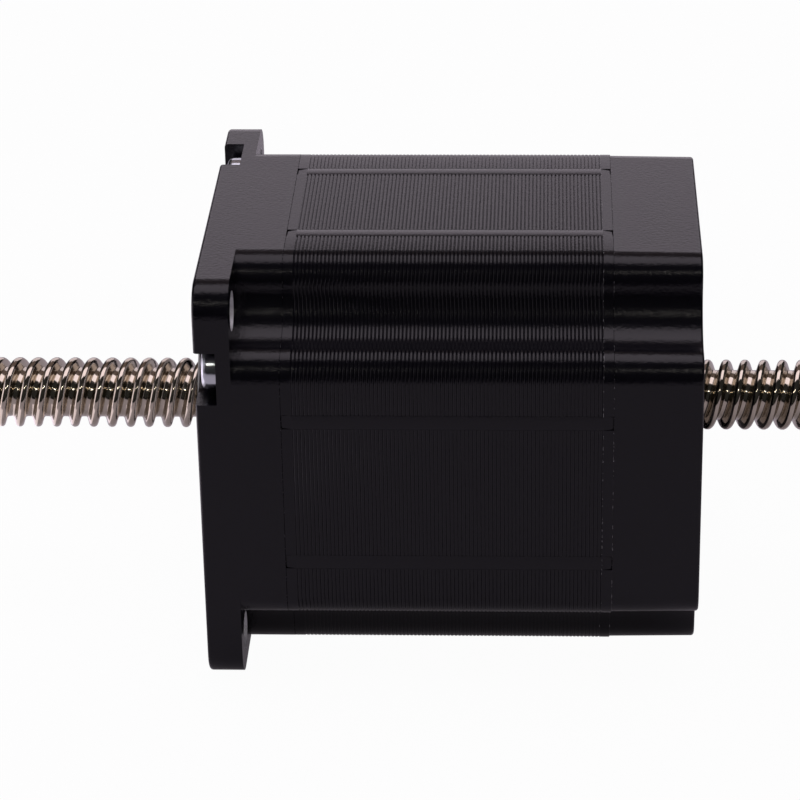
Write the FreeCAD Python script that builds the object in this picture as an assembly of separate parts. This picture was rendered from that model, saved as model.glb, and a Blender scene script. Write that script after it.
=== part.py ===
import FreeCAD, Part
import math
import os

# Non-captive linear stepper motor, in millimetres.
# +X runs along the lead screw from the flange's front face to the rear, and +Z is up.

# Frame and mounting face
frame_side = 57.0
flange_thickness = 4.65
flange_corner_radius = 4.0
flange_edge_round = 0.5
mount_inset = 4.93
mount_hole_diameter = 5.1
pilot_diameter = 38.1
pilot_height = 1.0

# Corner notches, which leave room for the heads of the mounting bolts
bolt_head_room = 4.45
notch_round = 3.65

# Lengths along the body
front_housing_length = 10.8
stack_length = 42.45
rear_housing_length = 11.35

# Castings
end_wall = 2.2
cavity_floor = 3.4
cavity_wall = 2.9
boss_wall = 2.0
shaft_opening_diameter = 20.0
rear_step = 0.15
rear_draft = 0.15
rear_edge_round = 0.4

# Assembly screws and their open pockets
screw_side_inset = 3.6
screw_notch_inset = 2.9
screw_shank_diameter = 3.5
screw_head_diameter = 5.8
screw_head_height = 2.05
screw_head_round = 0.9
screw_thread_depth = 7.6
screw_hole_clearance = 0.2
pocket_width = 7.3
pocket_depth = 2.75

# Laminated stator
stack_inset = 0.1
yoke_wall = 3.85
pole_count = 8
pole_width = 6.0
pole_shoe_depth = 2.1
pole_shoe_teeth = 6
tooth_depth = 0.8
weld_strip_width = 2.0
weld_strip_depth = 0.35
weld_strip_offset = 10.2

# Windings and their insulators
insulator_thickness = 0.8
insulator_rim = 0.8
coil_liner = 0.3
coil_thickness = 2.9
coil_end_depth = 3.4
coil_bend_radius = 2.2
coil_gap = 0.3

# Rotor, whose cores fill a share of the ring between the sleeve and the yoke
rotor_core_share = 12 / 29
rotor_teeth = 50
air_gap = 0.3
rotor_setback = 1.65
magnet_thickness = 2.0
magnet_recess = 0.5
sleeve_diameter = 20.0
sleeve_reach = 1.0

# Bearings, where each ring takes a share of the section between bore and rim
bearing_bore = 17.0
bearing_diameter = 26.0
bearing_width = 5.0
bearing_ring_share = 5 / 18
shield_thickness = 0.3
shield_setback = 0.2
shield_gap = 0.2
spring_room = 1.2
spring_thickness = 0.4
spring_width = 1.8
spring_waves = 3

# Lead screw, whose thread is left-hand, and its nut
lead_screw_diameter = 9.525
lead_screw_length = 150.0
lead_screw_chamfer = 1.2
thread_pitch = 2.54
thread_starts = 2
thread_depth = 1.43
thread_crest = 0.94
thread_flank_angle = 14.5
thread_overrun = 6.72
nut_diameter = 13.0
nut_length = 26.0
nut_flange_diameter = 14.8
nut_flange_thickness = 3.0
nut_running_clearance = 0.08
nut_seat_depth = 13.9
retainer_thickness = 4.0
retainer_bore = 11.0
retainer_slot_width = 2.0
retainer_slot_depth = 1.2

# Lead outlet on the side away from the pockets' view
outlet_width = 10.0
outlet_height = 4.4
outlet_setback = 5.4
grommet_lip = 0.9
grommet_proud = 0.6
lead_hole_diameter = 1.7
lead_hole_pitch = 2.2
lead_hole_count = 4

# Small gap on each side of a pressed or seated round face
seat_clearance = 0.02

# Worked-out places
half_side = frame_side / 2
mount_centre = half_side - mount_inset
notch_wall = mount_centre - bolt_head_room
flat_half = notch_wall - notch_round
lobe_centre = half_side - notch_round
stack_front = front_housing_length
stack_rear = stack_front + stack_length
body_length = stack_rear + rear_housing_length
cavity_radius = half_side - cavity_wall
yoke_radius = half_side - stack_inset - yoke_wall
boss_diameter = bearing_diameter + 2 * boss_wall
front_bearing_start = end_wall
front_bearing_end = front_bearing_start + bearing_width
rear_bearing_end = body_length - end_wall - spring_room
rear_bearing_start = rear_bearing_end - bearing_width
rotor_core_wall = rotor_core_share * (yoke_radius - sleeve_diameter / 2)
rotor_diameter = sleeve_diameter + 2 * rotor_core_wall
stator_tip_radius = rotor_diameter / 2 + air_gap
shoe_back_radius = stator_tip_radius + pole_shoe_depth
bearing_ring_wall = bearing_ring_share * (bearing_diameter - bearing_bore) / 2
inner_ring_diameter = bearing_bore + 2 * bearing_ring_wall
outer_ring_bore = bearing_diameter - 2 * bearing_ring_wall
sleeve_front = front_bearing_start - sleeve_reach
sleeve_rear = rear_bearing_end + sleeve_reach
nut_seat = sleeve_rear - nut_seat_depth
rotor_front = stack_front + rotor_setback
rotor_rear = stack_rear - rotor_setback
core_length = (rotor_rear - rotor_front - magnet_thickness) / 2
screw_side = half_side - screw_side_inset
screw_offset = notch_wall - screw_notch_inset

ALONG = FreeCAD.Vector(1, 0, 0)
ORIGIN = FreeCAD.Vector(0, 0, 0)
SAME_PLACE = 1e-4


def point(x, y, z):
    return FreeCAD.Vector(x, y, z)


def quarter_turns(shape):
    """The shape and its copies at each quarter turn about the screw axis."""
    copies = []
    for turn in range(4):
        copy = shape.copy()
        copy.rotate(ORIGIN, ALONG, 90 * turn)
        copies.append(copy)
    return copies


def rod(start, end, diameter, y=0.0, z=0.0):
    """A cylinder along X."""
    return Part.makeCylinder(diameter / 2, end - start, point(start, y, z), ALONG)


def tube(start, end, outer, inner):
    """A ring about the screw axis."""
    return rod(start, end, outer).cut(rod(start, end, inner))


def outline_arc(x, centre, radius, start, end):
    """An arc in the plane at x, about a centre (y, z), between two angles in degrees."""
    spots = []
    for angle in (start, (start + end) / 2, end):
        turn = math.radians(angle)
        y = centre[0] + radius * math.cos(turn)
        z = centre[1] + radius * math.sin(turn)
        spots.append(point(x, y, z))
    return Part.Arc(*spots).toShape()


def closed_face(edges):
    return Part.Face(Part.Wire(Part.__sortEdges__(edges)))


def flange_face(x):
    """The square flange with rounded corners."""
    side = half_side
    corner = side - flange_corner_radius
    edges = []
    for turn in range(4):
        flat = Part.makeLine(point(x, side, -corner), point(x, side, corner))
        bend = outline_arc(x, (corner, corner), flange_corner_radius, 0, 90)
        for edge in (flat, bend):
            edge.rotate(ORIGIN, ALONG, 90 * turn)
            edges.append(edge)
    return closed_face(edges)


def body_wire(x, inset):
    """The body outline in the plane at x, drawn in by an inset, with a hollow arc at each corner."""
    side = half_side - inset
    lobe_radius = notch_round - inset
    root_radius = lobe_centre - notch_wall + inset
    edges = []
    for turn in range(4):
        corner = [
            Part.makeLine(point(x, side, -flat_half), point(x, side, flat_half)),
            outline_arc(x, (lobe_centre, flat_half), lobe_radius, 0, 90),
            outline_arc(x, (lobe_centre, lobe_centre), root_radius, 270, 180),
            outline_arc(x, (flat_half, lobe_centre), lobe_radius, 0, 90),
        ]
        for edge in corner:
            edge.rotate(ORIGIN, ALONG, 90 * turn)
            edges.append(edge)
    return Part.Wire(Part.__sortEdges__(edges))


def body_block(start, end, inset):
    return Part.Face(body_wire(start, inset)).extrude(point(end - start, 0, 0))


def edges_at(shape, x):
    """The edges that lie wholly in the plane at x."""
    found = []
    for edge in shape.Edges:
        box = edge.BoundBox
        if abs(box.XMin - x) < SAME_PLACE and abs(box.XMax - x) < SAME_PLACE:
            found.append(edge)
    return found


def screw_rods(start, end, diameter):
    """Four rods on the axes of the assembly screws."""
    return quarter_turns(rod(start, end, diameter, -screw_side, screw_offset))


def screw_pockets():
    """Four round-ended pockets in the flange's front face, open to its sides."""
    round_end = rod(0, pocket_depth, pocket_width, -screw_side, screw_offset)
    corner = point(0, -half_side - flange_edge_round, screw_offset - pocket_width / 2)
    reach = screw_side_inset + flange_edge_round
    mouth = Part.makeBox(pocket_depth, reach, pocket_width, corner)
    return quarter_turns(round_end.fuse(mouth))


def front_housing():
    plate = flange_face(0).extrude(point(flange_thickness, 0, 0))
    plate = plate.makeFillet(flange_edge_round, edges_at(plate, 0))
    bell = body_block(flange_thickness, front_housing_length, 0)
    solid = plate.fuse([bell, rod(-pilot_height, 0, pilot_diameter)])
    cavity = rod(cavity_floor, front_housing_length, 2 * cavity_radius)
    boss = rod(cavity_floor, front_bearing_end, boss_diameter)
    seat = rod(front_bearing_start, front_bearing_end, bearing_diameter + 2 * seat_clearance)
    opening = rod(-pilot_height, front_bearing_start, shaft_opening_diameter)
    hole = rod(0, flange_thickness, mount_hole_diameter, mount_centre, mount_centre)
    shank_hole = screw_shank_diameter + 2 * screw_hole_clearance
    cuts = [cavity.cut(boss), seat, opening]
    cuts += quarter_turns(hole) + screw_pockets()
    cuts += screw_rods(pocket_depth, front_housing_length, shank_hole)
    return solid.cut(cuts).removeSplitter()


def rear_block():
    """The drafted rear cap before it is hollowed, a step inside the stack, with its rear edge rounded."""
    wires = [body_wire(stack_rear, rear_step), body_wire(body_length, rear_step + rear_draft)]
    block = Part.makeLoft(wires, True, True)
    return block.makeFillet(rear_edge_round, edges_at(block, body_length))


def outlet_block(start_y, end_y, grow):
    """A round-ended block through the side wall at the lead outlet."""
    radius = outlet_height / 2 + grow
    reach = (outlet_width - outlet_height) / 2
    x = stack_rear + outlet_setback
    length = end_y - start_y
    low = point(x, start_y, -reach)
    high = point(x, start_y, reach)
    across = point(0, 1, 0)
    middle = Part.makeBox(2 * radius, length, 2 * reach, point(x - radius, start_y, -reach))
    ends = [Part.makeCylinder(radius, length, spot, across) for spot in (low, high)]
    return middle.fuse(ends).removeSplitter()


def rear_housing():
    solid = rear_block()
    cavity_end = body_length - cavity_floor
    cavity = rod(stack_rear, cavity_end, 2 * cavity_radius)
    boss = rod(rear_bearing_start, cavity_end, boss_diameter)
    seat_end = rear_bearing_end + spring_room
    seat = rod(rear_bearing_start, seat_end, bearing_diameter + 2 * seat_clearance)
    opening = rod(seat_end, body_length, shaft_opening_diameter)
    thread_hole = screw_shank_diameter + 2 * seat_clearance
    thread_end = stack_rear + screw_thread_depth + screw_hole_clearance
    cuts = [cavity.cut(boss), seat, opening]
    cuts += screw_rods(stack_rear, thread_end, thread_hole)
    cuts.append(outlet_block(boss_diameter / 2, half_side, seat_clearance))
    return solid.cut(cuts).removeSplitter()


def pole_slot_face(x):
    """The hollow inside the stack: the bore between the pole teeth and the winding slots."""
    pole_pitch = 360 / pole_count
    tooth_pitch = 360 / rotor_teeth
    root = stator_tip_radius + tooth_depth
    half_pole = math.degrees(math.asin(pole_width / 2 / yoke_radius))
    neck = math.degrees(math.asin(pole_width / 2 / shoe_back_radius))
    shoe = (pole_shoe_teeth - 0.5) * tooth_pitch / 2

    def spot(radius, angle):
        turn = math.radians(angle)
        return point(x, radius * math.cos(turn), radius * math.sin(turn))

    edges = []
    for pole in range(pole_count):
        middle = pole * pole_pitch
        path = [spot(yoke_radius, middle - half_pole)]
        path.append(spot(shoe_back_radius, middle - neck))
        path.append(spot(shoe_back_radius, middle - shoe))
        for tooth in range(pole_shoe_teeth):
            start = middle - shoe + tooth * tooth_pitch
            end = start + tooth_pitch / 2
            path += [spot(stator_tip_radius, start), spot(stator_tip_radius, end)]
            if tooth < pole_shoe_teeth - 1:
                path += [spot(root, end), spot(root, end + tooth_pitch / 2)]
        path.append(spot(shoe_back_radius, middle + shoe))
        path.append(spot(shoe_back_radius, middle + neck))
        path.append(spot(yoke_radius, middle + half_pole))
        edges += [Part.makeLine(a, b) for a, b in zip(path, path[1:])]
        next_pole = middle + pole_pitch - half_pole
        edges.append(outline_arc(x, (0, 0), yoke_radius, middle + half_pole, next_pole))
    return closed_face(edges)


def weld_strips():
    """Shallow slots along each side of the stack, where the laminations are welded together."""
    strips = []
    surface = half_side - stack_inset
    for side in (-1, 1):
        low = side * weld_strip_offset - weld_strip_width / 2
        corner = point(stack_front, low, surface - weld_strip_depth)
        strip = Part.makeBox(stack_length, weld_strip_width, weld_strip_depth, corner)
        strips += quarter_turns(strip)
    return strips


def stator_stack():
    solid = body_block(stack_front, stack_rear, stack_inset)
    hollow = pole_slot_face(stack_front).extrude(point(stack_length, 0, 0))
    shank_hole = screw_shank_diameter + 2 * screw_hole_clearance
    cuts = [hollow] + weld_strips() + screw_rods(stack_front, stack_rear, shank_hole)
    return solid.cut(cuts)


def pole_copies(shape):
    copies = []
    for pole in range(pole_count):
        copy = shape.copy()
        copy.rotate(ORIGIN, ALONG, 360 / pole_count * pole)
        copies.append(copy)
    return copies


def coil_loop(start, end, half_width, bend, y):
    """A rectangle with rounded corners in the plane at y, which a coil's turns follow."""
    corners = [(end - bend, half_width - bend, 0), (start + bend, half_width - bend, 90)]
    corners += [(start + bend, bend - half_width, 180), (end - bend, bend - half_width, 270)]
    spots = []
    for x, z, angle in corners:
        for turn in (angle, angle + 45, angle + 90):
            bend_x = x + bend * math.cos(math.radians(turn))
            bend_z = z + bend * math.sin(math.radians(turn))
            spots.append(point(bend_x, y, bend_z))
    edges = []
    for first in range(0, 12, 3):
        edges.append(Part.Arc(*spots[first:first + 3]).toShape())
        edges.append(Part.makeLine(spots[first + 2], spots[(first + 3) % 12]))
    return Part.Face(Part.Wire(edges))


def stator_coils():
    inner_radius = shoe_back_radius + coil_gap
    radial_depth = math.sqrt(yoke_radius ** 2 - coil_outer_half() ** 2) - coil_gap - inner_radius
    start = stack_front - insulator_thickness
    end = stack_rear + insulator_thickness
    half_width = pole_width / 2 + coil_liner
    window = Part.makeBox(
        end - start, radial_depth, 2 * half_width, point(start, inner_radius, -half_width)
    )
    loop = coil_loop(
        start - coil_end_depth, end + coil_end_depth, coil_outer_half(), coil_bend_radius, inner_radius
    )
    coil = loop.extrude(point(0, radial_depth, 0)).cut(window)
    return Part.makeCompound(pole_copies(coil))


def coil_outer_half():
    return pole_width / 2 + coil_liner + coil_thickness


def coil_insulator(face, direction):
    """A rim round the end turns with a pad on each pole, seated on a stack end face."""
    rim_height = insulator_thickness + coil_end_depth
    low = min(face, face + direction * rim_height)
    rim_bore = 2 * yoke_radius
    rim = tube(low, low + rim_height, rim_bore + 2 * insulator_rim, rim_bore)
    pad_start = min(face, face + direction * insulator_thickness)
    pad_reach = yoke_radius + insulator_rim / 2 - shoe_back_radius
    corner = point(pad_start, shoe_back_radius, -pole_width / 2)
    pad = Part.makeBox(insulator_thickness, pad_reach, pole_width, corner)
    return rim.fuse(pole_copies(pad)).removeSplitter()


def assembly_screws():
    head_start = pocket_depth - screw_head_height
    head = rod(head_start, pocket_depth, screw_head_diameter, -screw_side, screw_offset)
    head = head.makeFillet(screw_head_round, edges_at(head, head_start))
    shank_end = stack_rear + screw_thread_depth
    shank = rod(pocket_depth, shank_end, screw_shank_diameter, -screw_side, screw_offset)
    return Part.makeCompound(quarter_turns(head.fuse(shank)))


def bearing_outer_ring(start):
    return tube(start, start + bearing_width, bearing_diameter, outer_ring_bore)


def bearing_inner_ring(start):
    bore = bearing_bore + 2 * seat_clearance
    return tube(start, start + bearing_width, inner_ring_diameter, bore)


def bearing_shields(start):
    """Two thin rings held by the outer ring, just clear of the inner one."""
    outer = outer_ring_bore - 2 * seat_clearance
    inner = inner_ring_diameter + 2 * shield_gap
    front = start + shield_setback
    rear = start + bearing_width - shield_setback - shield_thickness
    shields = [tube(x, x + shield_thickness, outer, inner) for x in (front, rear)]
    return Part.makeCompound(shields)


def bearing_wave_spring():
    """A thin ring that rises and falls in even waves between the rear bearing and its wall."""
    middle = rear_bearing_end + spring_room / 2
    swing = (spring_room - spring_thickness) / 2 - seat_clearance
    outer_radius = bearing_diameter / 2 - 2 * seat_clearance
    steps = 8 * spring_waves

    def wave_edge(radius, shift):
        spots = []
        for step in range(steps):
            turn = 2 * math.pi * step / steps
            x = middle + shift + swing * math.cos(spring_waves * turn)
            spots.append(point(x, radius * math.cos(turn), radius * math.sin(turn)))
        curve = Part.BSplineCurve()
        curve.interpolate(Points=spots, PeriodicFlag=True)
        return curve.toShape()

    lift = spring_thickness / 2
    inner_radius = outer_radius - spring_width
    loops = [
        wave_edge(outer_radius, lift),
        wave_edge(inner_radius, lift),
        wave_edge(inner_radius, -lift),
        wave_edge(outer_radius, -lift),
    ]
    faces = []
    for index, loop in enumerate(loops):
        faces.append(Part.makeRuledSurface(loop, loops[(index + 1) % len(loops)]))
    shell = Part.makeShell(faces)
    shell.sewShape()
    return Part.makeSolid(shell)


def lead_outlet_grommet():
    inner = cavity_radius
    plug = outlet_block(inner, half_side, 0)
    lip = outlet_block(half_side, half_side + grommet_proud, grommet_lip)
    holes = []
    for lead in range(lead_hole_count):
        z = (lead - (lead_hole_count - 1) / 2) * lead_hole_pitch
        spot = point(stack_rear + outlet_setback, inner, z)
        length = half_side + grommet_proud - inner
        holes.append(Part.makeCylinder(lead_hole_diameter / 2, length, spot, point(0, 1, 0)))
    return plug.fuse(lip).cut(holes)


def rotor_sleeve():
    solid = rod(sleeve_front, sleeve_rear, bearing_bore)
    solid = solid.fuse(rod(front_bearing_end, rear_bearing_start, sleeve_diameter))
    bore = rod(sleeve_front, sleeve_rear, nut_diameter + 2 * seat_clearance)
    nut_pocket = rod(nut_seat, sleeve_rear, nut_flange_diameter + 2 * seat_clearance)
    return solid.cut([bore, nut_pocket])


def rotor_core(start, step_angle):
    """A toothed core, turned by step_angle degrees."""
    tip = rotor_diameter / 2
    root = tip - tooth_depth
    pitch = 360 / rotor_teeth
    spots = []
    for tooth in range(rotor_teeth):
        for radius, share in ((tip, -0.25), (tip, 0.25), (root, 0.25), (root, 0.75)):
            turn = math.radians(step_angle + (tooth + share) * pitch)
            spots.append(point(start, radius * math.cos(turn), radius * math.sin(turn)))
    spots.append(spots[0])
    blank = Part.Face(Part.makePolygon(spots)).extrude(point(core_length, 0, 0))
    return blank.cut(rod(start, start + core_length, sleeve_diameter + 2 * seat_clearance))


def rotor_magnet():
    start = rotor_front + core_length
    outer = rotor_diameter - 2 * tooth_depth - 2 * magnet_recess
    return tube(start, start + magnet_thickness, outer, sleeve_diameter + 2 * seat_clearance)


def lead_nut():
    body = rod(nut_seat - nut_length, nut_seat, nut_diameter)
    flange = rod(nut_seat, nut_seat + nut_flange_thickness, nut_flange_diameter)
    bore = lead_screw_diameter + 2 * nut_running_clearance
    hole = rod(nut_seat - nut_length, nut_seat + nut_flange_thickness, bore)
    return body.fuse(flange).cut(hole)


def nut_retainer():
    """A threaded ring behind the nut, with a slot across it for a spanner."""
    start = nut_seat + nut_flange_thickness
    end = start + retainer_thickness
    ring = tube(start, end, nut_flange_diameter, retainer_bore)
    reach = nut_flange_diameter
    corner = point(end - retainer_slot_depth, -reach / 2, -retainer_slot_width / 2)
    slot = Part.makeBox(retainer_slot_depth, reach, retainer_slot_width, corner)
    return ring.cut(slot)


def thread_grooves(start):
    """A groove for each start of the thread, wound past both ends of a screw that begins at start.

    The section reaches half a thread depth beyond the crest, so that each groove is open outward.
    """
    crest_radius = lead_screw_diameter / 2
    root_radius = crest_radius - thread_depth
    mouth_radius = crest_radius + thread_depth / 2
    slope = math.tan(math.radians(thread_flank_angle))
    root_half = (thread_pitch - thread_crest) / 2 - thread_depth * slope
    mouth_half = root_half + (mouth_radius - root_radius) * slope
    corners = [point(root_radius, 0, -root_half), point(mouth_radius, 0, -mouth_half)]
    corners += [point(mouth_radius, 0, mouth_half), point(root_radius, 0, root_half)]
    section = Part.makePolygon(corners + corners[:1])
    lead = thread_starts * thread_pitch
    left_hand = True
    helix = Part.makeLongHelix(lead, lead_screw_length + 2 * thread_overrun, root_radius, 0, left_hand)
    groove = Part.Wire(helix).makePipeShell([section], True, True)
    groove.rotate(ORIGIN, point(0, 1, 0), 90)
    groove.translate(point(start - thread_overrun, 0, 0))
    grooves = []
    for turn in range(thread_starts):
        copy = groove.copy()
        copy.rotate(ORIGIN, ALONG, 360 / thread_starts * turn)
        grooves.append(copy)
    return grooves


def lead_screw():
    """The threaded screw with chamfered ends, centred along the body."""
    start = (body_length - lead_screw_length) / 2
    bar = rod(start, start + lead_screw_length, lead_screw_diameter)
    ends = edges_at(bar, start) + edges_at(bar, start + lead_screw_length)
    return bar.makeChamfer(lead_screw_chamfer, ends).cut(thread_grooves(start)).Solids[0]


pieces = {
    "front_housing": front_housing(),
    "rear_housing": rear_housing(),
    "stator_stack": stator_stack(),
    "stator_coils": stator_coils(),
    "front_coil_insulator": coil_insulator(stack_front, -1),
    "rear_coil_insulator": coil_insulator(stack_rear, 1),
    "assembly_screws": assembly_screws(),
    "front_bearing_outer_ring": bearing_outer_ring(front_bearing_start),
    "rear_bearing_outer_ring": bearing_outer_ring(rear_bearing_start),
    "front_bearing_shields": bearing_shields(front_bearing_start),
    "rear_bearing_shields": bearing_shields(rear_bearing_start),
    "bearing_wave_spring": bearing_wave_spring(),
    "lead_outlet_grommet": lead_outlet_grommet(),
    "rotor_sleeve": rotor_sleeve(),
    "rotor_core_front": rotor_core(rotor_front, 0),
    "rotor_core_rear": rotor_core(rotor_rear - core_length, 180 / rotor_teeth),
    "rotor_magnet": rotor_magnet(),
    "lead_nut": lead_nut(),
    "nut_retainer": nut_retainer(),
    "front_bearing_inner_ring": bearing_inner_ring(front_bearing_start),
    "rear_bearing_inner_ring": bearing_inner_ring(rear_bearing_start),
    "lead_screw": lead_screw(),
}

os.makedirs("parts", exist_ok=True)
for name, shape in pieces.items():
    shape.exportStep(f"parts/{name}.step")
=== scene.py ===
import bmesh
import bpy
import math
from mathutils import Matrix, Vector

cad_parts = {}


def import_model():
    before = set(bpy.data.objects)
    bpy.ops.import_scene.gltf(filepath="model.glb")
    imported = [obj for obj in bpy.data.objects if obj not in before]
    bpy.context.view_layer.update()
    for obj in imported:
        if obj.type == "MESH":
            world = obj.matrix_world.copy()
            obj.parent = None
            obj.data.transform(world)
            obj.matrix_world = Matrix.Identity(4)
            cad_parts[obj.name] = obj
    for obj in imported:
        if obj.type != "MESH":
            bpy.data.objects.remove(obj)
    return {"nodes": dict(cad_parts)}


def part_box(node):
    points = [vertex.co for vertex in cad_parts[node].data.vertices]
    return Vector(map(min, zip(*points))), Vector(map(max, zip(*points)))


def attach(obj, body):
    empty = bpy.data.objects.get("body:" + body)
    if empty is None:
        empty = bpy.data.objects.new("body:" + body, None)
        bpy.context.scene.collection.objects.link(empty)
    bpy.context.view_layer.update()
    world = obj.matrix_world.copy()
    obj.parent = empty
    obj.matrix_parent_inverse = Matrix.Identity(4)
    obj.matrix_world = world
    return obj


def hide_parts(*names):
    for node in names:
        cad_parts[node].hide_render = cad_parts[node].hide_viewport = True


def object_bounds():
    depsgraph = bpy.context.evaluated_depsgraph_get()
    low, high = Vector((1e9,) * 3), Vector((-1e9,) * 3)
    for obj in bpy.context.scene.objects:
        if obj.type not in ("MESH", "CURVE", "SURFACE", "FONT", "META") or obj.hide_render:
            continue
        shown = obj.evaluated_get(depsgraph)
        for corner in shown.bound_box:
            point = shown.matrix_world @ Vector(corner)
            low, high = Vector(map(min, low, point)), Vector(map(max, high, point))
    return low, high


# Non-captive linear stepper motor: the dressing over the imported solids, in metres.
# +X runs along the lead screw from the flange's front face to the rear, and +Z is up.
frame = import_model()
cad_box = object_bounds()
mm = 0.001
quarter_turn = math.pi / 2

# Mounting holes and corner notches, as on the castings
mount_centre = 23.57 * mm
mount_hole_radius = 2.55 * mm
notch_wall = 19.12 * mm
notch_round = 3.65 * mm
notch_segments = 10

# Lamination edges, which stand a little proud of the stack under them
plate_pitch = 0.5 * mm
plate_groove = 0.26 * mm
groove_depth = 0.09 * mm
edge_height = 0.1 * mm
skin_depth = 0.5 * mm
plain_end = 1.4 * mm
seam_round = 0.06 * mm
groove_sharp_angle = 25

# Welds across the laminations, which sink away at both ends
weld_offset = 10.2 * mm
weld_slot_width = 2.0 * mm
weld_slot_depth = 0.37 * mm
weld_height = 0.36 * mm
weld_round = 0.03 * mm
weld_segments = 3
weld_run_out = 1.3 * mm
weld_end_gap = 0.15 * mm
weld_tip_width = 0.88
weld_tip_height = 0.7

# Lead screw thread: trapezoidal, two starts, left-hand as photographed
thread_pitch = 2.54 * mm
thread_starts = 2
thread_depth = 1.43 * mm
thread_crest = 0.94 * mm
thread_flank_angle = math.radians(14.5)
thread_crest_round = 0.43 * mm
thread_crest_segments = 5
thread_root_round = 0.22 * mm
thread_root_segments = 3
thread_phase = 0.76 * mm
thread_steps = 48
thread_spare_turns = 2
screw_end_chamfer = 1.2 * mm

# Assembly screws
screw_axis = (-24.9 * mm, 16.22 * mm)
screw_head_radius = 2.9 * mm
screw_head_height = 2.05 * mm
screw_head_round = 0.9 * mm
screw_head_sides = 40
screw_head_segments = 5
screw_shank_radius = 1.75 * mm
cross_length = 3.4 * mm
cross_width = 0.9 * mm
cross_depth = 1.2 * mm
cross_taper = 0.55

# Black enamel, and the metal that shows where it is cut through or worn off
paint_colours = ("#0b0a10", "#100f17")
paint_roughness = (0.15, 0.25)
paint_specular = 0.3
paint_grain = 0.4 * mm
casting_bump = 0.035 * mm
lamination_bump = 0.02 * mm
bare_colour = "#e4e5e6"
bare_roughness = 0.6
bare_hole_margin = 0.04 * mm
bare_pilot_margin = 0.02 * mm
edge_wear = 0.018 * mm
wear_dot = 0.5 * mm
wear_limit = 0.57

# How near two points are one, how square a face is to an axis it faces, and how straight a line is
same_place = 0.001 * mm
facing = 0.9
straight_angle = math.radians(179)


# Modelling tools

def begin(name, add_primitive, **size):
    """A primitive in its place, alone in the selection and open in edit mode."""
    bpy.ops.object.select_all(action="DESELECT")
    add_primitive(**size)
    bpy.ops.object.transform_apply(location=True, rotation=True, scale=True)
    piece = bpy.context.object
    piece.name = name
    bpy.ops.object.mode_set(mode="EDIT")
    return piece


def pick(piece, kind, test):
    """Select only the verts, edges or faces that pass the test."""
    bpy.ops.mesh.select_mode(type={"verts": "VERT", "edges": "EDGE", "faces": "FACE"}[kind])
    bpy.ops.mesh.select_all(action="DESELECT")
    mesh = bmesh.from_edit_mesh(piece.data)
    for part in getattr(mesh, kind):
        if test(part):
            part.select_set(True)
    bmesh.update_edit_mesh(piece.data)


def pick_all():
    bpy.ops.mesh.select_all(action="SELECT")


def turns_corner(vert):
    """Whether the two edges at a vertex turn a corner there."""
    ways = [edge.other_vert(vert).co - vert.co for edge in vert.link_edges]
    return len(ways) == 2 and ways[0].angle(ways[1]) < straight_angle


def lies_on_straight(vert):
    """Whether the two edges at a vertex run on in one line."""
    return len(vert.link_edges) == 2 and not turns_corner(vert)


def extrude(x=0.0, y=0.0, z=0.0):
    bpy.ops.mesh.extrude_region_move(TRANSFORM_OT_translate={"value": (x, y, z)})


def bisect(place, normal, **settings):
    """Cut the whole mesh along a plane."""
    pick_all()
    bpy.ops.mesh.bisect(plane_co=place, plane_no=normal, threshold=same_place, **settings)


def merge_doubles():
    """Join the points of the whole mesh that lie in one place."""
    pick_all()
    bpy.ops.mesh.remove_doubles(threshold=same_place)


def scale_about_axis(factor):
    """Scale the selection across the screw axis."""
    bpy.ops.transform.resize(value=(1, factor, factor), center_override=(0, 0, 0))


def apply_modifier(piece, kind, **settings):
    """Give the piece a modifier, apply it and go back to edit mode."""
    bpy.ops.object.mode_set(mode="OBJECT")
    modifier = piece.modifiers.new(kind.lower(), kind)
    for name, value in settings.items():
        setattr(modifier, name, value)
    bpy.ops.object.modifier_apply(modifier=modifier.name)
    bpy.ops.object.mode_set(mode="EDIT")


def four_around_axis(piece):
    """The piece and three copies, a quarter turn apart, as one piece."""
    bpy.ops.object.mode_set(mode="OBJECT")
    copies = [piece]
    for turn in (1, 2, 3):
        copy = piece.copy()
        copy.data = piece.data.copy()
        bpy.context.collection.objects.link(copy)
        copy.rotation_euler.x = turn * quarter_turn
        copies.append(copy)
    bpy.ops.object.select_all(action="DESELECT")
    for copy in copies:
        copy.select_set(True)
    bpy.ops.object.transform_apply(location=True, rotation=True, scale=True)
    bpy.context.view_layer.objects.active = piece
    bpy.ops.object.join()
    bpy.ops.object.mode_set(mode="EDIT")


def end(piece, material, body, sharp_angle=35):
    """Close edit mode and give the piece its shading, material and body."""
    pick_all()
    bpy.ops.mesh.normals_make_consistent(inside=False)
    bpy.ops.object.mode_set(mode="OBJECT")
    bpy.ops.object.shade_smooth_by_angle(angle=math.radians(sharp_angle))
    piece.data.materials.clear()
    piece.data.materials.append(material)
    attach(piece, body)


# Materials
# Grain sizes are in real millimetres. Rolling, grinding and turning marks are too fine to show in the
# render, so they are drawn coarser than they are.

def linear(hex_colour):
    """An sRGB hex colour as linear red, green, blue and alpha."""
    channels = [int(hex_colour[place:place + 2], 16) / 255 for place in (1, 3, 5)]
    shown = [c / 12.92 if c <= 0.04045 else ((c + 0.055) / 1.055) ** 2.4 for c in channels]
    return (*shown, 1.0)


def add(tree, kind, inputs, **settings):
    """Add a node with its settings, and fill or link its inputs."""
    node = tree.nodes.new("ShaderNode" + kind)
    for name, value in settings.items():
        setattr(node, name, value)
    for socket, value in inputs.items():
        if isinstance(value, bpy.types.NodeSocket):
            tree.links.new(value, node.inputs[socket])
        else:
            node.inputs[socket].default_value = value
    return node


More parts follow.
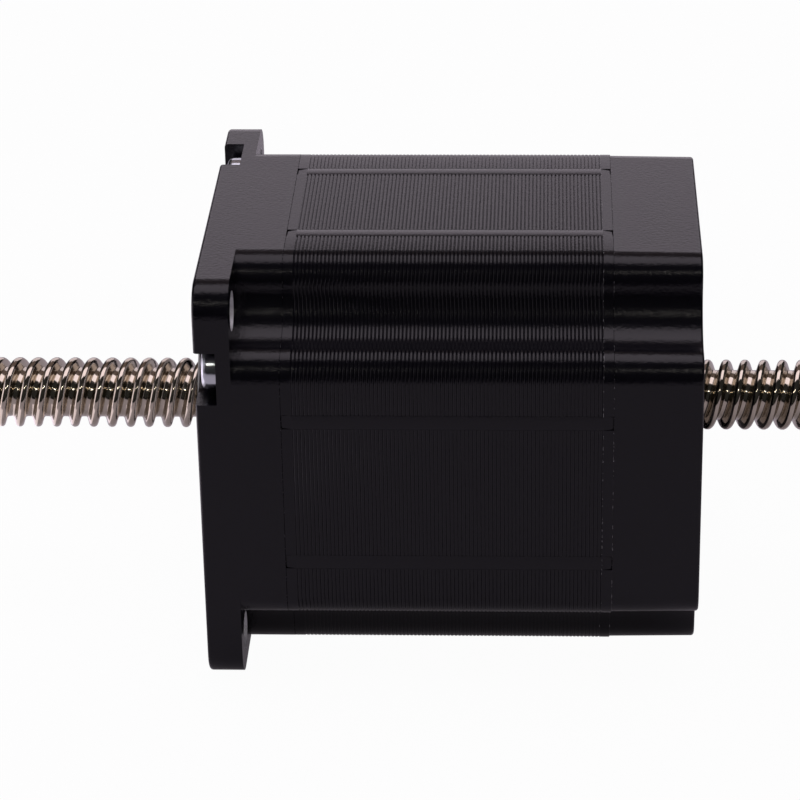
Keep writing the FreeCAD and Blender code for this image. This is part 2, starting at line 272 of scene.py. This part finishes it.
def open_material(name, **sockets):
    """A new material, its nodes, its shader with constant sockets set, and its object coordinates."""
    material = bpy.data.materials.new(name)
    material.use_nodes = True
    tree = material.node_tree
    shader = tree.nodes["Principled BSDF"]
    for socket, value in sockets.items():
        shader.inputs[socket.replace("_", " ")].default_value = value
    place = add(tree, "TexCoord", {}).outputs["Object"]
    return material, tree, shader, place


def surface(tree, shader, place, colours, roughness, grain, bump, stretch=(1, 1, 1)):
    """Noise of one grain size between two colours and two roughnesses, with its own bump depth."""
    stretched = add(tree, "Mapping", {"Vector": place, "Scale": stretch}).outputs[0]
    noise = add(tree, "TexNoise", {"Vector": stretched, "Scale": 1 / grain, "Detail": 4.0}).outputs["Fac"]
    tint = add(tree, "Mix", {0: noise, 6: linear(colours[0]), 7: linear(colours[1])}, data_type="RGBA")
    gloss = add(tree, "MapRange", {0: noise, 3: roughness[0], 4: roughness[1]}).outputs[0]
    relief = add(tree, "Bump", {"Height": noise, "Distance": bump, "Strength": 1.0}).outputs[0]
    tree.links.new(tint.outputs[2], shader.inputs["Base Color"])
    tree.links.new(gloss, shader.inputs["Roughness"])
    tree.links.new(relief, shader.inputs["Normal"])
    return tint.outputs[2], gloss


def show_bare(tree, shader, bare, tint, gloss):
    """Bright, satin bare metal where the mask is 1, and the paint elsewhere."""
    colour = add(tree, "Mix", {0: bare, 6: tint, 7: linear(bare_colour)}, data_type="RGBA").outputs[2]
    rough = add(tree, "Mix", {0: bare, 2: gloss, 3: bare_roughness}).outputs[0]
    tree.links.new(colour, shader.inputs["Base Color"])
    tree.links.new(rough, shader.inputs["Roughness"])
    tree.links.new(bare, shader.inputs["Metallic"])


def black_paint():
    """Baked black enamel on die-cast aluminium: deep black, a soft sheen and the grain of the casting.
    The mounting holes and the pilot are machined afterwards and show bare metal."""
    material, tree, shader, place = open_material("black_enamel_on_casting",
                                                  Specular_IOR_Level=paint_specular)
    tint, gloss = surface(tree, shader, place, paint_colours, paint_roughness, paint_grain, casting_bump)
    folded = add(tree, "VectorMath", {0: place}, operation="ABSOLUTE").outputs[0]
    hole = (0, mount_centre, mount_centre)
    from_hole = add(tree, "VectorMath", {0: folded, 1: hole}, operation="SUBTRACT").outputs[0]
    across = add(tree, "VectorMath", {0: from_hole, 1: (0, 1, 1)}, operation="MULTIPLY").outputs[0]
    distance = add(tree, "VectorMath", {0: across}, operation="LENGTH").outputs["Value"]
    in_hole = add(tree, "Math", {0: distance, 1: mount_hole_radius + bare_hole_margin},
                  operation="LESS_THAN").outputs[0]
    along = add(tree, "SeparateXYZ", {0: place}).outputs[0]
    pilot = add(tree, "Math", {0: along, 1: -bare_pilot_margin}, operation="LESS_THAN").outputs[0]
    bare = add(tree, "Math", {0: in_hole, 1: pilot}, operation="MAXIMUM").outputs[0]
    show_bare(tree, shader, bare, tint, gloss)
    return material


def plate_layout():
    """How many grooved plates fit between the plain ends, and how long each plain end is left."""
    low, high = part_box("stator_stack")
    length = high.x - low.x
    plates = round((length - 2 * plain_end) / plate_pitch)
    return plates, (length - plates * plate_pitch) / 2


def painted_laminations():
    """The same black enamel, thinner, over the stacked steel edges, and worn off in dots at the seams
    and along the rear end plate."""
    material, tree, shader, place = open_material("black_enamel_on_laminations",
                                                  Specular_IOR_Level=paint_specular)
    tint, gloss = surface(tree, shader, place, paint_colours, paint_roughness, paint_grain, lamination_bump)
    along = add(tree, "SeparateXYZ", {0: place}).outputs[0]
    low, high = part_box("stator_stack")
    _, end_length = plate_layout()
    plate_edge = high.x - end_length + plate_groove / 2
    front_seam = add(tree, "Math", {0: along, 1: low.x, 2: edge_wear}, operation="COMPARE").outputs[0]
    rear_seam = add(tree, "Math", {0: along, 1: high.x, 2: edge_wear}, operation="COMPARE").outputs[0]
    end_plate = add(tree, "Math", {0: along, 1: plate_edge, 2: edge_wear / 2},
                    operation="COMPARE").outputs[0]
    seams = add(tree, "Math", {0: front_seam, 1: rear_seam}, operation="MAXIMUM").outputs[0]
    edges = add(tree, "Math", {0: seams, 1: end_plate}, operation="MAXIMUM").outputs[0]
    patches = add(tree, "TexNoise", {"Vector": place, "Scale": 1 / wear_dot}).outputs["Fac"]
    worn = add(tree, "Math", {0: patches, 1: wear_limit}, operation="GREATER_THAN").outputs[0]
    bare = add(tree, "Math", {0: edges, 1: worn}, operation="MULTIPLY").outputs[0]
    show_bare(tree, shader, bare, tint, gloss)
    return material


def stainless_steel():
    """Rolled stainless steel: bright, warm grey, with fine rolling marks round the thread."""
    material, tree, shader, place = open_material("rolled_stainless_steel", Metallic=1.0)
    surface(tree, shader, place, colours=("#b4ab9c", "#c6bdae"), roughness=(0.07, 0.15),
            grain=0.6 * mm, bump=0.003 * mm, stretch=(3, 1, 1))
    return material


def zinc_plated_steel():
    """Bright zinc plating: cool silver, a little cloudy."""
    material, tree, shader, place = open_material("bright_zinc_on_steel", Metallic=1.0)
    surface(tree, shader, place, colours=("#c3c8ce", "#d6dadf"), roughness=(0.14, 0.26),
            grain=0.8 * mm, bump=0.003 * mm)
    return material


def enamelled_copper():
    """Enamelled copper wire: dark red-brown lacquer over wound turns about 0.5 mm thick."""
    material, tree, shader, place = open_material("enamelled_copper_wire", Metallic=0.6)
    surface(tree, shader, place, colours=("#7a3a1a", "#a85a2a"), roughness=(0.25, 0.4),
            grain=0.5 * mm, bump=0.06 * mm, stretch=(0.15, 1, 1))
    return material


def insulator_plastic():
    """Moulded nylon: milky white, faintly mottled."""
    material, tree, shader, place = open_material("moulded_nylon", IOR=1.53)
    surface(tree, shader, place, colours=("#d8d3c4", "#e4e0d3"), roughness=(0.4, 0.55),
            grain=1.5 * mm, bump=0.008 * mm)
    return material


def bearing_steel():
    """Ground chrome steel: very bright, with fine grinding rings."""
    material, tree, shader, place = open_material("ground_chrome_steel", Metallic=1.0)
    surface(tree, shader, place, colours=("#b9bbbe", "#c8cacd"), roughness=(0.1, 0.18),
            grain=0.3 * mm, bump=0.002 * mm, stretch=(4, 1, 1))
    return material


def pressed_steel():
    """Pressed steel shields: plain satin grey."""
    material, tree, shader, place = open_material("pressed_steel_sheet", Metallic=1.0)
    surface(tree, shader, place, colours=("#97999c", "#a7a9ac"), roughness=(0.28, 0.4),
            grain=0.7 * mm, bump=0.006 * mm)
    return material


def spring_steel():
    """Tempered spring steel: grey with a blue cast."""
    material, tree, shader, place = open_material("tempered_spring_steel", Metallic=1.0)
    surface(tree, shader, place, colours=("#6f747c", "#80858d"), roughness=(0.22, 0.34),
            grain=0.8 * mm, bump=0.004 * mm)
    return material


def black_rubber():
    """Moulded rubber: dull black with a fine mould grain."""
    material, tree, shader, place = open_material("moulded_rubber", IOR=1.52)
    surface(tree, shader, place, colours=("#141414", "#1c1c1c"), roughness=(0.6, 0.8),
            grain=0.3 * mm, bump=0.02 * mm)
    return material


def turned_steel():
    """Turned steel: grey, with the tool's feed marks round the shaft."""
    material, tree, shader, place = open_material("turned_steel", Metallic=1.0)
    surface(tree, shader, place, colours=("#9c9da0", "#b0b1b4"), roughness=(0.2, 0.34),
            grain=0.4 * mm, bump=0.006 * mm, stretch=(5, 0.4, 0.4))
    return material


def core_steel():
    """Stacked silicon steel: dull grey sheets about 0.5 mm thick."""
    material, tree, shader, place = open_material("stacked_silicon_steel", Metallic=1.0)
    surface(tree, shader, place, colours=("#5f6165", "#7c7e82"), roughness=(0.35, 0.5),
            grain=0.5 * mm, bump=0.02 * mm, stretch=(1, 0.1, 0.1))
    return material


def magnet():
    """Nickel-plated rare-earth magnet: grey with a faint yellow cast."""
    material, tree, shader, place = open_material("nickel_plated_magnet", Metallic=1.0)
    surface(tree, shader, place, colours=("#8d8a82", "#a19e96"), roughness=(0.2, 0.34),
            grain=0.6 * mm, bump=0.004 * mm)
    return material


def nut_bronze():
    """Machined bronze: warm yellow-brown with turning marks."""
    material, tree, shader, place = open_material("machined_bronze", Metallic=1.0)
    surface(tree, shader, place, colours=("#9a6d38", "#b58548"), roughness=(0.22, 0.34),
            grain=0.4 * mm, bump=0.006 * mm, stretch=(5, 0.4, 0.4))
    return material


slots = {
    "black_paint": black_paint(),
    "painted_laminations": painted_laminations(),
    "stainless_steel": stainless_steel(),
    "zinc_plated_steel": zinc_plated_steel(),
    "enamelled_copper": enamelled_copper(),
    "insulator_plastic": insulator_plastic(),
    "bearing_steel": bearing_steel(),
    "pressed_steel": pressed_steel(),
    "spring_steel": spring_steel(),
    "black_rubber": black_rubber(),
    "turned_steel": turned_steel(),
    "core_steel": core_steel(),
    "magnet": magnet(),
    "nut_bronze": nut_bronze(),
}

node_slots = {
    "front_housing": "black_paint",
    "rear_housing": "black_paint",
    "stator_stack": "painted_laminations",
    "stator_coils": "enamelled_copper",
    "front_coil_insulator": "insulator_plastic",
    "rear_coil_insulator": "insulator_plastic",
    "assembly_screws": "zinc_plated_steel",
    "front_bearing_outer_ring": "bearing_steel",
    "rear_bearing_outer_ring": "bearing_steel",
    "front_bearing_inner_ring": "bearing_steel",
    "rear_bearing_inner_ring": "bearing_steel",
    "front_bearing_shields": "pressed_steel",
    "rear_bearing_shields": "pressed_steel",
    "bearing_wave_spring": "spring_steel",
    "lead_outlet_grommet": "black_rubber",
    "rotor_sleeve": "turned_steel",
    "rotor_core_front": "core_steel",
    "rotor_core_rear": "core_steel",
    "rotor_magnet": "magnet",
    "lead_nut": "nut_bronze",
    "nut_retainer": "turned_steel",
    "lead_screw": "stainless_steel",
}
for node_name, slot_name in node_slots.items():
    node_mesh = frame["nodes"][node_name].data
    node_mesh.materials.clear()
    node_mesh.materials.append(slots[slot_name])


# Pieces

def threaded_lead_screw():
    """One lead of the thread's outline, drawn from a single point, is wound along the screw, cut to length
    and chamfered."""
    low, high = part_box("lead_screw")
    crest_radius = (high.z - low.z) / 2
    root_radius = crest_radius - thread_depth
    lead = thread_pitch * thread_starts
    flank = thread_depth * math.tan(thread_flank_angle)
    half_root = (thread_pitch - thread_crest) / 2 - flank
    turns = math.ceil((high.x - low.x) / lead) + thread_spare_turns
    piece = begin("threaded_lead_screw", bpy.ops.mesh.primitive_plane_add, size=mm,
                  location=(high.x + thread_phase, 0, root_radius))
    bpy.ops.mesh.merge(type="CENTER")
    tooth = [(half_root, 0), (flank, thread_depth), (thread_crest, 0), (flank, -thread_depth),
             (half_root, 0)]
    for run, rise in tooth * thread_starts:
        extrude(x=run, z=rise)
    middle = root_radius + thread_depth / 2
    pick(piece, "verts", lambda vert: vert.co.z > middle)
    bpy.ops.mesh.bevel(offset=thread_crest_round, segments=thread_crest_segments, affect="VERTICES")
    pick(piece, "verts", lambda vert: vert.co.z < middle and turns_corner(vert))
    bpy.ops.mesh.bevel(offset=thread_root_round, segments=thread_root_segments, affect="VERTICES")
    apply_modifier(piece, "SCREW", axis="X", angle=2 * math.pi, screw_offset=-lead, iterations=turns,
                   steps=thread_steps, render_steps=thread_steps, use_merge_vertices=True,
                   merge_threshold=same_place)
    merge_doubles()
    for x, side in ((low.x, -1), (high.x, 1)):
        bisect((x, 0, 0), (side, 0, 0), use_fill=True, clear_outer=True)
    mesh = bmesh.from_edit_mesh(piece.data)
    for vert in mesh.verts:
        inset = min(vert.co.x - low.x, high.x - vert.co.x)
        limit = crest_radius - max(0.0, screw_end_chamfer - inset)
        radius = math.hypot(vert.co.y, vert.co.z)
        if radius > limit:
            vert.co.y *= limit / radius
            vert.co.z *= limit / radius
    bmesh.update_edit_mesh(piece.data)
    end(piece, slots["stainless_steel"], "screw")
    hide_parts("lead_screw")


def lamination_edges():
    """The notched outline is drawn out into one sheet's edge and repeated. Plain end plates and an inner
    wall close it into a skin round the stack."""
    low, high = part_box("stator_stack")
    side = high.z + edge_height
    root_radius = side - notch_round - notch_wall
    groove_scale = 1 - groove_depth / side
    plates, end_length = plate_layout()
    start = low.x + end_length
    slot_floor = side - weld_slot_depth
    slot_sides = (weld_offset - weld_slot_width / 2, weld_offset + weld_slot_width / 2)
    piece = begin("lamination_edges", bpy.ops.mesh.primitive_plane_add, size=2 * side,
                  location=(start, 0, 0), rotation=(0, quarter_turn, 0))
    for offset in (*slot_sides, notch_wall, slot_floor):
        for direction in ((0, 1, 0), (0, -1, 0), (0, 0, 1), (0, 0, -1)):
            bisect(Vector(direction) * offset, direction)

    def cut_away(face):
        centre = face.calc_center_median()
        far, near = max(abs(centre.y), abs(centre.z)), min(abs(centre.y), abs(centre.z))
        in_slot = far > slot_floor and slot_sides[0] < near < slot_sides[1]
        return near > notch_wall or in_slot

    pick(piece, "faces", cut_away)
    bpy.ops.mesh.delete(type="FACE")
    pick_all()
    bpy.ops.mesh.dissolve_faces()
    pick(piece, "verts", lies_on_straight)
    bpy.ops.mesh.dissolve_verts()
    for far, radius in ((notch_wall, root_radius), (side, notch_round)):
        def corner(vert):
            places = sorted((abs(vert.co.y), abs(vert.co.z)))
            return abs(places[0] - notch_wall) < same_place and abs(places[1] - far) < same_place
        pick(piece, "verts", corner)
        bpy.ops.mesh.bevel(offset=radius, segments=notch_segments, affect="VERTICES")
    pick_all()
    bpy.ops.mesh.delete(type="ONLY_FACE")
    merge_doubles()
    scale_about_axis(groove_scale)
    extrude(x=plate_groove / 2)
    scale_about_axis(1 / groove_scale)
    extrude(x=plate_pitch - plate_groove)
    extrude(x=plate_groove / 2)
    scale_about_axis(groove_scale)
    apply_modifier(piece, "ARRAY", count=plates, use_relative_offset=False, use_constant_offset=True,
                   constant_offset_displace=(plate_pitch, 0, 0), use_merge_vertices=True,
                   merge_threshold=same_place)
    for x, way, seam in ((start, -1, low.x), (start + plates * plate_pitch, 1, high.x)):
        pick(piece, "edges", lambda edge: edge.is_boundary and abs(edge.verts[0].co.x - x) < same_place)
        extrude(x=way * plate_groove / 2)
        scale_about_axis(1 / groove_scale)
        extrude(x=seam - x - way * (plate_groove / 2 + seam_round))
        extrude(x=way * seam_round)
        scale_about_axis(1 - seam_round / side)
        extrude()
        scale_about_axis(1 - skin_depth / side)
    extrude(x=low.x - high.x)
    merge_doubles()
    end(piece, slots["painted_laminations"], "motor", groove_sharp_angle)


def weld_beads():
    """Two smooth welds along each side of the stack, in the slots of the laminations, with sunken tips."""
    low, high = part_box("stator_stack")
    floor_height = high.z + edge_height - weld_slot_depth
    middle = floor_height + weld_height / 2
    for offset, name in ((weld_offset, "weld_beads_left"), (-weld_offset, "weld_beads_right")):
        piece = begin(name, bpy.ops.mesh.primitive_cube_add, size=1,
                      location=((low.x + high.x) / 2, offset, middle),
                      scale=(high.x - low.x - 2 * weld_run_out, weld_slot_width, weld_height))
        pick(piece, "edges", lambda edge: min(vert.co.z for vert in edge.verts) > middle)
        bpy.ops.mesh.bevel(offset=weld_round, segments=weld_segments, affect="EDGES")
        for way in (-1, 1):
            pick(piece, "faces", lambda face: face.normal.x * way > facing)
            extrude(x=way * (weld_run_out - weld_end_gap))
            bpy.ops.transform.resize(value=(1, weld_tip_width, weld_tip_height),
                                     center_override=(0, offset, floor_height))
        four_around_axis(piece)
        end(piece, slots["painted_laminations"], "motor")


def pan_head_screws():
    """Pan heads with a cross recess, on shanks that run through the stack."""
    low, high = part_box("assembly_screws")
    y, z = screw_axis
    under_head = low.x + screw_head_height
    cross = begin("cross_recess", bpy.ops.mesh.primitive_cube_add, size=1, location=(low.x, y, z),
                  scale=(2 * cross_depth, cross_width, cross_width))
    pick(cross, "faces", lambda face: abs(face.normal.x) < facing)
    arm = (cross_length - cross_width) / 2
    bpy.ops.mesh.extrude_faces_move(TRANSFORM_OT_shrink_fatten={"value": arm})
    pick(cross, "verts", lambda vert: vert.co.x > low.x)
    bpy.ops.transform.resize(value=(1, cross_taper, cross_taper), center_override=(low.x, y, z))
    bpy.ops.object.mode_set(mode="OBJECT")
    piece = begin("pan_head_screws", bpy.ops.mesh.primitive_cylinder_add, vertices=screw_head_sides,
                  radius=screw_head_radius, depth=screw_head_height,
                  location=(low.x + screw_head_height / 2, y, z), rotation=(0, quarter_turn, 0))
    pick(piece, "faces", lambda face: face.normal.x > facing)
    bpy.ops.mesh.inset(thickness=screw_head_radius - screw_shank_radius)
    extrude(x=high.x - under_head)
    pick(piece, "edges", lambda edge: max(vert.co.x for vert in edge.verts) < low.x + same_place)
    bpy.ops.mesh.bevel(offset=screw_head_round, segments=screw_head_segments, affect="EDGES")
    apply_modifier(piece, "BOOLEAN", object=cross, operation="DIFFERENCE", solver="EXACT")
    four_around_axis(piece)
    bpy.data.objects.remove(cross)
    end(piece, slots["zinc_plated_steel"], "motor")
    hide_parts("assembly_screws")


threaded_lead_screw()
lamination_edges()
weld_beads()
pan_head_screws()


# Studio

# Paper under the part: its size, the stretch of it that reflections see, and how it is shared
# between the lamps' light and an even glow
paper_size = 12
paper_middle = (-0.25, 0.35)
paper_half = (0.6, 0.595)
paper_colour = "#f4f2fb"
camera_even_share = 0.97
mirrored_lit_share = 0.6
mirrored_glow = 0.38

# Light, in linear colours
room_level = 0.03
lamp_colour = (1.0, 0.89, 1.0)
strip_colour = (1.0, 0.94, 0.86)
ceiling_colour = (1.0, 0.7, 0.64)

# Camera, fitted to the photograph, which is cropped off its centre
sensor_width = 36.0
lens = 146.752
lens_shift = (-0.025, -0.075)
camera_place = (44.69 * mm, -396.8 * mm, 200.87 * mm)
camera_degrees = (64.106, 0.807, 2.085)


def floor():
    """White paper under the part. The camera sees it almost evenly white, with a faint shadow.
    Reflections see a weaker white that ends a short way in front of the part."""
    bpy.ops.object.select_all(action="DESELECT")
    bpy.ops.mesh.primitive_plane_add(size=paper_size, location=(0, 0, cad_box[0].z))
    paper = bpy.context.object
    paper.name = "paper_floor"
    material = bpy.data.materials.new("white_paper")
    material.use_nodes = True
    tree = material.node_tree
    tree.nodes.remove(tree.nodes["Principled BSDF"])
    path = add(tree, "LightPath", {}).outputs
    seen = path["Is Camera Ray"]
    mirrored = add(tree, "Math", {0: path["Is Glossy Ray"], 1: path["Is Transmission Ray"]},
                   operation="MAXIMUM").outputs[0]
    place = add(tree, "TexCoord", {}).outputs["Object"]
    along, across, _ = add(tree, "SeparateXYZ", {0: place}).outputs
    in_length = add(tree, "Math", {0: along, 1: paper_middle[0], 2: paper_half[0]},
                    operation="COMPARE").outputs[0]
    in_width = add(tree, "Math", {0: across, 1: paper_middle[1], 2: paper_half[1]},
                   operation="COMPARE").outputs[0]
    on_paper = add(tree, "Math", {0: in_length, 1: in_width}, operation="MULTIPLY").outputs[0]
    unlit = add(tree, "Math", {0: on_paper, 1: -mirrored_lit_share, 2: 1.0},
                operation="MULTIPLY_ADD").outputs[0]
    mirrored_share = add(tree, "Math", {0: mirrored, 1: unlit}, operation="MULTIPLY").outputs[0]
    share = add(tree, "Math", {0: seen, 1: camera_even_share, 2: mirrored_share},
                operation="MULTIPLY_ADD").outputs[0]
    glow = add(tree, "Math", {0: mirrored, 1: on_paper}, operation="MULTIPLY").outputs[0]
    strength = add(tree, "Math", {0: glow, 1: mirrored_glow, 2: seen}, operation="MULTIPLY_ADD").outputs[0]
    tint = add(tree, "Mix", {0: seen, 6: (*lamp_colour, 1), 7: (1, 1, 1, 1)},
               data_type="RGBA").outputs[2]
    lit = add(tree, "BsdfDiffuse", {"Color": linear(paper_colour)}).outputs[0]
    even = add(tree, "Emission", {"Color": tint, "Strength": strength}).outputs[0]
    mixed = add(tree, "MixShader", {0: share, 1: lit, 2: even}).outputs[0]
    tree.links.new(mixed, tree.nodes["Material Output"].inputs["Surface"])
    paper.data.materials.append(material)


def lamp(name, location, target, width, height, radiance, colour=lamp_colour):
    """A soft rectangular lamp of an even radiance, turned towards a point."""
    data = bpy.data.lights.new(name, "AREA")
    data.shape = "RECTANGLE"
    data.size = width
    data.size_y = height
    data.energy = radiance * math.pi * width * height
    data.color = colour
    made = bpy.data.objects.new(name, data)
    made.location = location
    made.rotation_euler = (Vector(target) - Vector(location)).to_track_quat("-Z", "Y").to_euler()
    made.visible_camera = False
    bpy.context.collection.objects.link(made)


def lamps():
    """The softbox draws the light bands in the notches, and the back panel lights the top. The strips draw
    the thin bright line along the screw, and the cards the bright left edges of its ribs. The ceiling and
    the left panel lift what would be black between them."""
    lamp("overhead_softbox", location=(0.03, 0.098, 0.8), target=(0.03, 0.098, 0.0),
         width=1.2, height=0.536, radiance=1.7)
    lamp("back_panel", location=(0.03, 0.9, 0.29), target=(0.03, 0.0, 0.29),
         width=0.7, height=0.6, radiance=1.0)
    lamp("left_strip", location=(-0.27, -0.758, 0.652), target=(-0.27, 0.0, 0.0),
         width=0.28, height=0.016, radiance=30.0, colour=strip_colour)
    lamp("right_strip", location=(0.26, -0.758, 0.652), target=(0.26, 0.0, 0.0),
         width=0.2, height=0.016, radiance=30.0, colour=strip_colour)
    lamp("ceiling", location=(0.03, 0.643, 0.766), target=(0.03, 0.0, 0.0),
         width=1.2, height=0.5, radiance=0.14, colour=ceiling_colour)
    lamp("left_panel", location=(-0.8, -0.35, 0.3), target=(0.0, 0.0, 0.0),
         width=0.6, height=0.7, radiance=0.35)
    lamp("left_floor_card", location=(-0.1025, 0.02, -0.028), target=(-0.1025, 0.02, 0.2),
         width=0.135, height=0.13, radiance=0.8)
    lamp("left_standing_card", location=(-0.1, -0.012, 0.01), target=(0.0, -0.012, 0.01),
         width=0.066, height=0.07, radiance=1.3)


def world():
    """A dim room, which the camera sees as white."""
    room = bpy.data.worlds.new("room")
    bpy.context.scene.world = room
    room.use_nodes = True
    tree = room.node_tree
    seen = add(tree, "LightPath", {}).outputs["Is Camera Ray"]
    level = add(tree, "MapRange", {0: seen, 3: room_level, 4: 1.0}).outputs[0]
    tree.links.new(level, tree.nodes["Background"].inputs["Strength"])
    tree.nodes["Background"].inputs["Color"].default_value = (1, 1, 1, 1)


def camera():
    """The photograph's viewpoint, above and in front of the near side."""
    data = bpy.data.cameras.new("camera")
    data.sensor_width = sensor_width
    data.lens = lens
    data.shift_x, data.shift_y = lens_shift
    data.clip_start = 0.01
    data.clip_end = 50.0
    made = bpy.data.objects.new("camera", data)
    made.location = camera_place
    made.rotation_euler = [math.radians(angle) for angle in camera_degrees]
    bpy.context.collection.objects.link(made)
    bpy.context.scene.camera = made


floor()
lamps()
world()
camera()
bpy.context.scene.view_settings.view_transform = "Standard"
